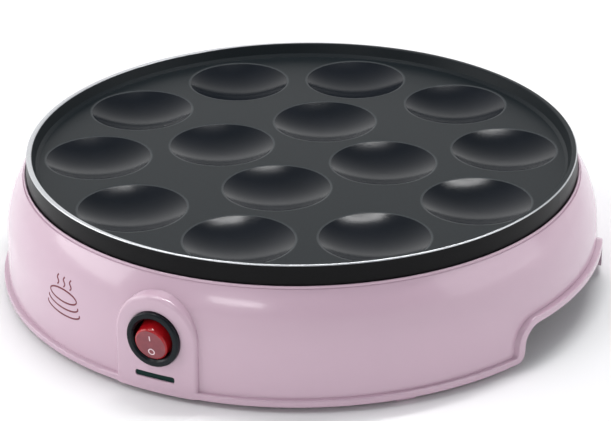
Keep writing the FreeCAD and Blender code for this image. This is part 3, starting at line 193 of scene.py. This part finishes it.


def plate_coating():
    """Non-stick coating on cast aluminium.

    Satin with a dry grain on the floor and walls, smoother inside the moulds.
    Painted shade: darker inside the moulds and nearly black on the outer wall.
    Painted highlight: a lighter ring along the moulds' edges, and a bright
    metal-coloured band along the rim's outer edge, widest at the left.
    """
    paint = Paint("plate_coating")
    axes = paint.add("ShaderNodeSeparateXYZ")
    paint.link(paint.place, axes.inputs["Vector"])
    height = axes.outputs["Z"]
    flat = paint.add("ShaderNodeVectorMath", operation="MULTIPLY")
    flat.inputs[1].default_value = (1.0, 1.0, 0.0)
    paint.link(paint.place, flat.inputs[0])
    reach = paint.add("ShaderNodeVectorMath", operation="LENGTH")
    paint.link(flat.outputs["Vector"], reach.inputs[0])
    radius = reach.outputs["Value"]

    # Masks: 1 inside the moulds, on their edges (painted highlight), on the outer
    # wall, on the rim's painted highlight.
    inside = paint.spread(radius, 1.0, 0.0, MOULD_ZONE, MOULD_ZONE + 0.5 * MM)
    deep = paint.spread(height, 1.0, 0.0, COOKING_FLOOR - 0.30 * MM,
                        COOKING_FLOOR - 0.22 * MM)
    in_mould = paint.product(deep, inside)
    # Painted highlight: a lighter ring just below the cooking floor along each mould's
    # edge.
    below_floor = paint.spread(height, 1.0, 0.0, COOKING_FLOOR - 0.03 * MM,
                               COOKING_FLOOR - 0.01 * MM)
    edge_highlight = paint.product(below_floor, inside)
    # The rim band is a painted highlight: a bright metal colour where the rim's edge
    # catches the light, widest at the far left.
    rim_band_from, rim_band_to = RIM_RADIUS - RIM_HIGHLIGHT_BAND, RIM_RADIUS - RIM_HIGHLIGHT_BAND + 0.15 * MM
    # The outer mask marks the outer wall, which gets painted shade.
    outer = paint.spread(radius, 0.0, 1.0, rim_band_from, rim_band_to)
    highlight_reach = paint.add("ShaderNodeMath", operation="ADD")
    paint.link(radius, highlight_reach.inputs[0])
    paint.link(paint.spread(axes.outputs["X"], EXTRA_LEFT_HIGHLIGHT, 0.0, -90.0 * MM,
                            10.0 * MM), highlight_reach.inputs[1])
    rim_highlight_band = paint.spread(highlight_reach.outputs["Value"], 0.0, 1.0, rim_band_from, rim_band_to)
    crest = paint.spread(height, 0.0, 1.0, RIM_TOP - 0.55 * MM, RIM_TOP - 0.40 * MM)
    painted_rim_highlight = paint.product(rim_highlight_band, crest)

    fine = paint.noise(2600.0, 2.0, 0.6)
    broad = paint.noise(34.0, 4.0, 0.6)
    floor = paint.blend(fine, (0.005, 0.008, 0.010), (0.010, 0.014, 0.017))
    # Painted shade: a darker copy of the floor's coating inside the moulds.
    shaded_mould = paint.blend(broad, (0.004, 0.006, 0.009), (0.007, 0.009, 0.013))
    # Painted highlight: the lighter colour of the ring along the moulds' edges.
    ring = paint.blend(fine, (0.028, 0.032, 0.035), (0.046, 0.052, 0.056))
    # Painted shade: the outer wall's coating made nearly black.
    shaded_wall = paint.blend(fine, (0.0003, 0.0003, 0.0004), (0.002, 0.002, 0.003))
    # Painted highlight: the bright metal colour of the rim band.
    highlight_grey = paint.blend(fine, (0.60, 0.61, 0.63), (0.78, 0.79, 0.81))
    satin = paint.mix(edge_highlight, paint.mix(outer, floor, shaded_wall), ring)
    coated = paint.mix(in_mould, satin, shaded_mould)
    paint.colour(paint.mix(painted_rim_highlight, coated, highlight_grey))
    paint.link(painted_rim_highlight, paint.shader.inputs["Metallic"])
    paint.roughness(paint.spread(in_mould, 0.38, 0.16, 0.0, 1.0))
    paint.bump(fine, 0.03 * MM, 0.3)
    return paint.set(IOR=1.5, Specular_IOR_Level=0.15)


def red_rocker(face_point, face_normal):
    """Red see-through plastic, polished at its sides and matt on its face."""
    paint = Paint("red_rocker")
    depth = paint.add("ShaderNodeVectorMath", operation="DOT_PRODUCT")
    paint.link(paint.place, depth.inputs[0])
    depth.inputs[1].default_value = face_normal
    level = face_point.dot(face_normal)
    on_face = paint.spread(depth.outputs["Value"], 0.0, 1.0,
                           level - 0.10 * MM, level - 0.02 * MM)
    cloud = paint.noise(300.0)
    deep = paint.blend(cloud, (0.33, 0.004, 0.008), (0.42, 0.008, 0.012))
    matt = paint.blend(cloud, (0.21, 0.040, 0.054), (0.26, 0.050, 0.064))
    paint.colour(paint.mix(on_face, deep, matt))
    paint.roughness(paint.spread(on_face, 0.10, 0.42, 0.0, 1.0))
    paint.bump(paint.noise(2500.0, 2.0), 0.01 * MM, 0.3)
    return paint.set(IOR=1.5, Subsurface_Weight=0.15, Subsurface_Scale=2.0 * MM,
                     Subsurface_Radius=(1.0, 0.1, 0.1))


def bezel_black():
    """Bluish black moulded collar around the rocker, satin."""
    paint = moulded("bezel_black", (0.004, 0.007, 0.010), 0.24, 0.004 * MM)
    return paint.set(IOR=1.5, Specular_IOR_Level=0.20)


def green_lens():
    """Dark green see-through bar, smooth in front."""
    paint = moulded("green_lens", (0.0006, 0.020, 0.017), 0.18, 0.003 * MM)
    return paint.set(IOR=1.5, Specular_IOR_Level=0.16)


def earth_insulation():
    """Green and yellow stripes."""
    paint = Paint("earth_insulation")
    wave = paint.add("ShaderNodeTexWave", bands_direction="DIAGONAL")
    wave.inputs["Scale"].default_value = 90.0
    paint.link(paint.place, wave.inputs["Vector"])
    paint.colour(paint.blend(wave.outputs["Fac"], (0.05, 0.30, 0.06),
                             (0.75, 0.62, 0.04), 0.48, 0.52))
    paint.bump(paint.noise(900.0), 0.02 * MM)
    return paint.set(Roughness=0.45)


def woven_sleeve():
    """Crossed threads of a glass-fibre sleeve."""
    paint = Paint("woven_sleeve")
    checks = paint.add("ShaderNodeTexChecker")
    checks.inputs["Scale"].default_value = 1400.0
    paint.link(paint.place, checks.inputs["Vector"])
    paint.colour(paint.blend(paint.noise(700.0), (0.55, 0.51, 0.42),
                             (0.78, 0.74, 0.64)))
    paint.bump(checks.outputs["Fac"], 0.1 * MM, 0.7)
    return paint.set(Roughness=0.8)


def lamp_glass():
    """Clear capsule with a faint orange tint."""
    paint = moulded("lamp_glass", (0.85, 0.62, 0.48), 0.06, 0.003 * MM)
    return paint.set(Transmission_Weight=0.7, IOR=1.45)


# ---------------------------------------------------------- the rocker's axes

tilt_joint = next(joint for joint in frame["record"]["behaviour"]["joints"]
                  if joint["name"] == "rocker_tilt")
PAD_LEAN = math.radians(1.9)
ROCKER_TILT = math.radians(12.0)
FACE_HEIGHT = 7.4 * MM          # rocker's face in front of its pivot
rocker_turn = Matrix.Rotation(math.radians(90.0) - PAD_LEAN + ROCKER_TILT, 3, "X")
face_normal = rocker_turn @ Vector((0, 0, 1))
face_up = rocker_turn @ Vector((0, 1, 0))
face_centre = Vector(tilt_joint["pos_m"]) + face_normal * FACE_HEIGHT


# ------------------------------------------------------------ paint the frame

STEEL = metal("plated_steel", (0.56, 0.55, 0.52), 0.32)
BRASS = metal("brass_tab", (0.78, 0.56, 0.24), 0.28)
BLACK = moulded("fine_black", (0.018, 0.018, 0.019), 0.42, 0.03 * MM)
BROWN = moulded("brown_insulation", (0.20, 0.075, 0.03), 0.42)
BLUE = moulded("blue_insulation", (0.03, 0.11, 0.42), 0.42)
GLASS = lamp_glass()

finishes = {
    "base_shell": housing_pink(),
    "griddle_plate": plate_coating(),
    "insulating_ring": moulded("insulator", (0.03, 0.028, 0.027), 0.7),
    "heating_element": metal("element_sheath", (0.23, 0.20, 0.18), 0.5),
    "element_seals": moulded("ceramic_seal", (0.80, 0.77, 0.70), 0.6),
    "heat_shield": metal("bright_sheet", (0.74, 0.75, 0.76), 0.22, (1.0, 12.0, 1.0)),
    "thermostat_cap": metal("pressed_aluminium", (0.70, 0.71, 0.72), 0.35),
    "thermostat_body": moulded("bakelite", (0.045, 0.022, 0.014), 0.3),
    "fuse_sleeve": woven_sleeve(),
    "switch_housing": bezel_black(),
    "switch_rocker": red_rocker(face_centre, face_normal),
    "switch_connectors": moulded("clear_sleeve", (0.74, 0.73, 0.68), 0.3),
    "indicator_lens": green_lens(),
    "bottom_cover": moulded("cover_black", (0.022, 0.022, 0.024), 0.5, 0.06 * MM),
    "foot_pads": moulded("foot_rubber", (0.16, 0.15, 0.15), 0.75, 0.04 * MM),
    "terminal_block": moulded("block_nylon", (0.78, 0.77, 0.71), 0.4),
    "wire_earth": earth_insulation(),
    "indicator_leads": moulded("white_insulation", (0.75, 0.74, 0.70), 0.42),
}
shared = {
    STEEL: ("element_pins", "clamp_brackets", "spring_washers", "plate_screws",
            "thermostat_screws", "thermal_fuse", "fuse_strap", "fuse_rivets",
            "cover_screws", "plunger_spring", "earth_tab", "earth_screw",
            "earth_nut"),
    BRASS: ("thermostat_tabs", "switch_terminals", "block_screws",
            "contact_plunger", "contact_lever"),
    BLACK: ("indicator_holder", "cord_inlet", "wire_clips"),
    BROWN: ("wire_live", "wire_switched", "wire_heat", "wire_element"),
    BLUE: ("wire_neutral", "wire_lamp"),
    GLASS: ("rocker_lamp", "indicator_lamp"),
}
for paint, names in shared.items():
    finishes.update({name: paint for name in names})

for name, node in frame["nodes"].items():
    material = finishes[name].material
    if not node.material_slots:
        node.data.materials.append(material)
    for slot in node.material_slots:
        slot.material = material


# --------------------------------------------------------------- new pieces

def finish_piece(name, mesh_data, paint, body):
    """Put a new mesh in the scene with its material, riding on a body."""
    bmesh.ops.recalc_face_normals(mesh_data, faces=mesh_data.faces)
    mesh = bpy.data.meshes.new(name)
    mesh_data.to_mesh(mesh)
    mesh_data.free()
    mesh.materials.append(paint.material)
    piece = bpy.data.objects.new(name, mesh)
    bpy.context.collection.objects.link(piece)
    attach(piece, body)


def stroke(points, width, closed):
    """Pairs of left and right points along a flat line of some width."""
    pairs = []
    count = len(points)
    for index, here in enumerate(points):
        before = points[(index - 1) % count] if closed or index else here
        after = points[(index + 1) % count] if closed or index < count - 1 else here
        along = (after - before).normalized()
        side = Vector((-along.y, along.x)) * width / 2
        pairs.append((here + side, here - side))
    return pairs


def ribbon(target, surface, pairs, closed, lift, thickness):
    """Add a thin solid strip: pairs of flat points are lifted onto a surface."""
    rings = []
    for left, right in pairs:
        corners = []
        for height in (lift, lift - thickness):
            for flat in (left, right) if height == lift else (right, left):
                corners.append(target.verts.new(surface(flat, height)))
        rings.append(corners)
    last = len(rings) if closed else len(rings) - 1
    for index in range(last):
        first, second = rings[index], rings[(index + 1) % len(rings)]
        for side in range(4):
            other = (side + 1) % 4
            target.faces.new((first[side], first[other], second[other],
                              second[side]))
    if not closed:
        target.faces.new(reversed(rings[0]))
        target.faces.new(rings[-1])


def ellipse(centre, half_width, half_height, start=0.0, turn=360.0, count=40):
    """Points along an ellipse or a part of one, from a start angle."""
    steps = count if turn >= 360.0 else count + 1
    angles = [math.radians(start + turn * step / count) for step in range(steps)]
    return [Vector((centre[0] + half_width * math.cos(angle),
                    centre[1] + half_height * math.sin(angle))) for angle in angles]


def rocker_face(flat, height):
    """A point on the rocker's face, from across and up it, lifted by a height."""
    return (face_centre + Vector((1, 0, 0)) * flat.x + face_up * flat.y
            + face_normal * height)


WHITE_PRINT = moulded("white_print", (0.80, 0.66, 0.70), 0.4, 0.004 * MM)
MARK_LINE = 0.44 * MM
MARK_ON = 3.1 * MM              # middle of the bar, up from the face's centre
MARK_OFF = -3.3 * MM            # middle of the ring
BAR_HALF = 1.1 * MM
RING_RADIUS = 1.25 * MM
bar = [Vector((0, MARK_ON + BAR_HALF * (step / 5 - 1))) for step in range(11)]
ring = ellipse((0, MARK_OFF), RING_RADIUS, RING_RADIUS)
for mark, points, closed in (("mark_on", bar, False), ("mark_off", ring, True)):
    strip = bmesh.new()
    ribbon(strip, rocker_face, stroke(points, MARK_LINE, closed), closed,
           0.04 * MM, 0.08 * MM)
    finish_piece(mark, strip, WHITE_PRINT, ROCKER)


# A small plain pictogram, three stacked pancakes with steam, printed to the
# left of the switch.
PRINT_AZIMUTH = math.radians(-90.0 - 22.5)
PRINT_HEIGHT = 27.5 * MM
PRINT_LINE = 0.7 * MM
WALL_RADIUS = 126.9 * MM        # of the housing at the print
WELL_OUTSIDE = 200.0 * MM       # a radius that clears the housing
shell = frame["nodes"]["base_shell"]


def housing_wall(flat, height):
    """A point on the housing's wall, from across and up the print."""
    azimuth = PRINT_AZIMUTH + flat.x / WALL_RADIUS
    outwards = Vector((math.cos(azimuth), math.sin(azimuth), 0))
    start = outwards * WELL_OUTSIDE
    start.z = PRINT_HEIGHT + flat.y
    hit, place, _, _ = shell.ray_cast(start, -outwards)
    if not hit:
        raise RuntimeError("the print misses the housing")
    return place + outwards * height


def pictogram():
    """Lines of the print: outlines of three flat cakes and three wisps."""
    lines = []
    for level in range(3):
        centre = (0.0, (-5.0 + 2.9 * level) * MM)
        half = (10.6 - 0.9 * level) * MM
        if level == 2:
            lines.append((ellipse(centre, half, 2.6 * MM), True))
        else:
            lines.append((ellipse(centre, half, 2.6 * MM, 168.0, 204.0), False))
    for spot in (-4.2, 0.0, 4.2):
        wisp = [Vector(((spot + 0.7 * math.sin(step * math.pi / 6)) * MM,
                        (4.4 + 0.33 * step) * MM)) for step in range(13)]
        lines.append((wisp, False))
    return lines


RED_PRINT = moulded("red_print", (0.150, 0.004, 0.020), 0.35, 0.004 * MM)
printed = bmesh.new()
for points, closed in pictogram():
    ribbon(printed, housing_wall, stroke(points, PRINT_LINE, closed), closed,
           0.05 * MM, 0.1 * MM)
finish_piece("printed_pictogram", printed, RED_PRINT, HOUSING)


# ------------------------------------------------------- floor, camera, light

FLOOR_RADIUS = 1.6


def stage_floor():
    """A pale round floor with a soft drift of tone."""
    mesh = bpy.data.meshes.new("floor")
    shape = bmesh.new()
    bmesh.ops.create_circle(shape, cap_ends=True, segments=96,
                            radius=FLOOR_RADIUS)
    shape.to_mesh(mesh)
    shape.free()
    floor = bpy.data.objects.new("floor", mesh)
    bpy.context.collection.objects.link(floor)
    paint = Paint("pale_floor")
    paint.colour(paint.blend(paint.noise(1.5), (0.88, 0.88, 0.885),
                             (0.92, 0.92, 0.92)))
    paint.set(Roughness=0.8)
    mesh.materials.append(paint.material)


CAMERA_AZIMUTH = math.radians(26.8)
CAMERA_ELEVATION = math.radians(23.72)
CAMERA_DISTANCE = 0.9575
AIM_DOWN = math.radians(1.769)      # off the rim's middle
AIM_RIGHT = math.radians(0.081)
ROLL = math.radians(-0.648)
FOCAL_LENGTH = 132.2                # millimetres, on a sensor this wide
SENSOR_WIDTH = 36.0


def camera():
    """The camera: it looks past the rim's middle, pitched, turned and rolled."""
    rim_middle = Vector((0, 0, RIM_TOP))
    back = Vector((math.sin(CAMERA_AZIMUTH) * math.cos(CAMERA_ELEVATION),
                   -math.cos(CAMERA_AZIMUTH) * math.cos(CAMERA_ELEVATION),
                   math.sin(CAMERA_ELEVATION)))
    ahead = -back
    right = ahead.cross(Vector((0, 0, 1))).normalized()
    up = right.cross(ahead)
    pitched = ahead * math.cos(AIM_DOWN) - up * math.sin(AIM_DOWN)
    up = ahead * math.sin(AIM_DOWN) + up * math.cos(AIM_DOWN)
    ahead = pitched * math.cos(AIM_RIGHT) + right * math.sin(AIM_RIGHT)
    right = right * math.cos(AIM_RIGHT) - pitched * math.sin(AIM_RIGHT)
    across = right * math.cos(ROLL) + up * math.sin(ROLL)
    upright = up * math.cos(ROLL) - right * math.sin(ROLL)
    data = bpy.data.cameras.new("camera")
    data.lens, data.sensor_width = FOCAL_LENGTH, SENSOR_WIDTH
    data.clip_start, data.clip_end = 0.05, 50.0
    eye = bpy.data.objects.new("camera", data)
    place = Matrix((across, upright, -ahead)).transposed().to_4x4()
    place.translation = rim_middle + back * CAMERA_DISTANCE
    eye.matrix_world = place
    bpy.context.collection.objects.link(eye)
    bpy.context.scene.camera = eye


LIGHT_AIM = Vector((0, 0, 0.03))
SOFTBOXES = (                       # name, place, size, watts, long side's direction
    ("key_left", (-1.1, -0.6, 0.6), (0.9, 0.7), 5.6, (0.5, -0.9, 0.0)),
    ("top", (0.05, 0.43, 1.21), (0.75, 0.07), 6.0, (0.72, 0.66, -0.22)),
    ("top_wide", (-0.08, 0.22, 1.25), (1.30, 0.06), 4.5, (0.89, 0.45, 0.0)),
    ("high_left", (-0.42, -0.52, 1.05), (0.36, 0.24), 2.2, (0.89, 0.45, 0.0)),
    ("front", (0.05, -1.15, 0.54), (0.40, 0.11), 0.9, (1.0, 0.0, 0.0)),
    ("side_right", (1.3, 0.3, 0.6), (1.2, 0.8), 3.6, (0.0, 1.0, 0.0)),
)
BRIGHTEST_SIDE = (-0.75, 0.50, -0.43)   # low, behind the object on the left
FULLY_WHITE = 0.65                      # cosine of the angle to that side
HORIZON_BAND = (0.10, 0.24)             # sines of the heights where white ends
DIM_SKY = (0.30, 0.31, 0.33, 1.0)
WHITE = (1.0, 1.0, 1.0, 1.0)


def softbox(name, place, size, power, across):
    """A rectangular area light that faces the object, long side across."""
    data = bpy.data.lights.new(name, "AREA")
    data.shape = "RECTANGLE"
    data.size, data.size_y = size
    data.energy = power
    lamp = bpy.data.objects.new(name, data)
    back = (Vector(place) - LIGHT_AIM).normalized()
    side = (Vector(across) - back * back.dot(Vector(across))).normalized()
    turned = Matrix((side, back.cross(side), back)).transposed().to_4x4()
    turned.translation = place
    lamp.matrix_world = turned
    bpy.context.collection.objects.link(lamp)


def studio():
    """Surroundings and softboxes.

    The surroundings are white up to a band just above the horizon. Over that band
    they run from dim to white towards the brightest side.
    """
    world = bpy.data.worlds.new("studio")
    world.use_nodes = True
    tree = world.node_tree
    sky = tree.nodes["Background"]
    sky.inputs["Strength"].default_value = 1.0
    direction = tree.nodes.new("ShaderNodeTexCoord").outputs["Generated"]
    facing = tree.nodes.new("ShaderNodeVectorMath")
    facing.operation = "DOT_PRODUCT"
    facing.inputs[1].default_value = BRIGHTEST_SIDE
    upper = tree.nodes.new("ShaderNodeValToRGB")
    stops = upper.color_ramp.elements
    stops[0].position, stops[0].color = 0.0, DIM_SKY
    stops[1].position, stops[1].color = FULLY_WHITE, WHITE
    axes = tree.nodes.new("ShaderNodeSeparateXYZ")
    height = tree.nodes.new("ShaderNodeMapRange")
    height.inputs["From Min"].default_value = HORIZON_BAND[0]
    height.inputs["From Max"].default_value = HORIZON_BAND[1]
    blend = tree.nodes.new("ShaderNodeMix")
    blend.data_type = "RGBA"
    blend.inputs["A"].default_value = WHITE
    for source, target in (
            (direction, facing.inputs[0]), (direction, axes.inputs["Vector"]),
            (facing.outputs["Value"], upper.inputs["Fac"]),
            (axes.outputs["Z"], height.inputs["Value"]),
            (height.outputs["Result"], blend.inputs["Factor"]),
            (upper.outputs["Color"], blend.inputs["B"]),
            (blend.outputs["Result"], sky.inputs["Color"])):
        tree.links.new(source, target)
    bpy.context.scene.world = world
    bpy.context.scene.view_settings.view_transform = "Standard"
    for row in SOFTBOXES:
        softbox(*row)


camera()
stage_floor()
studio()
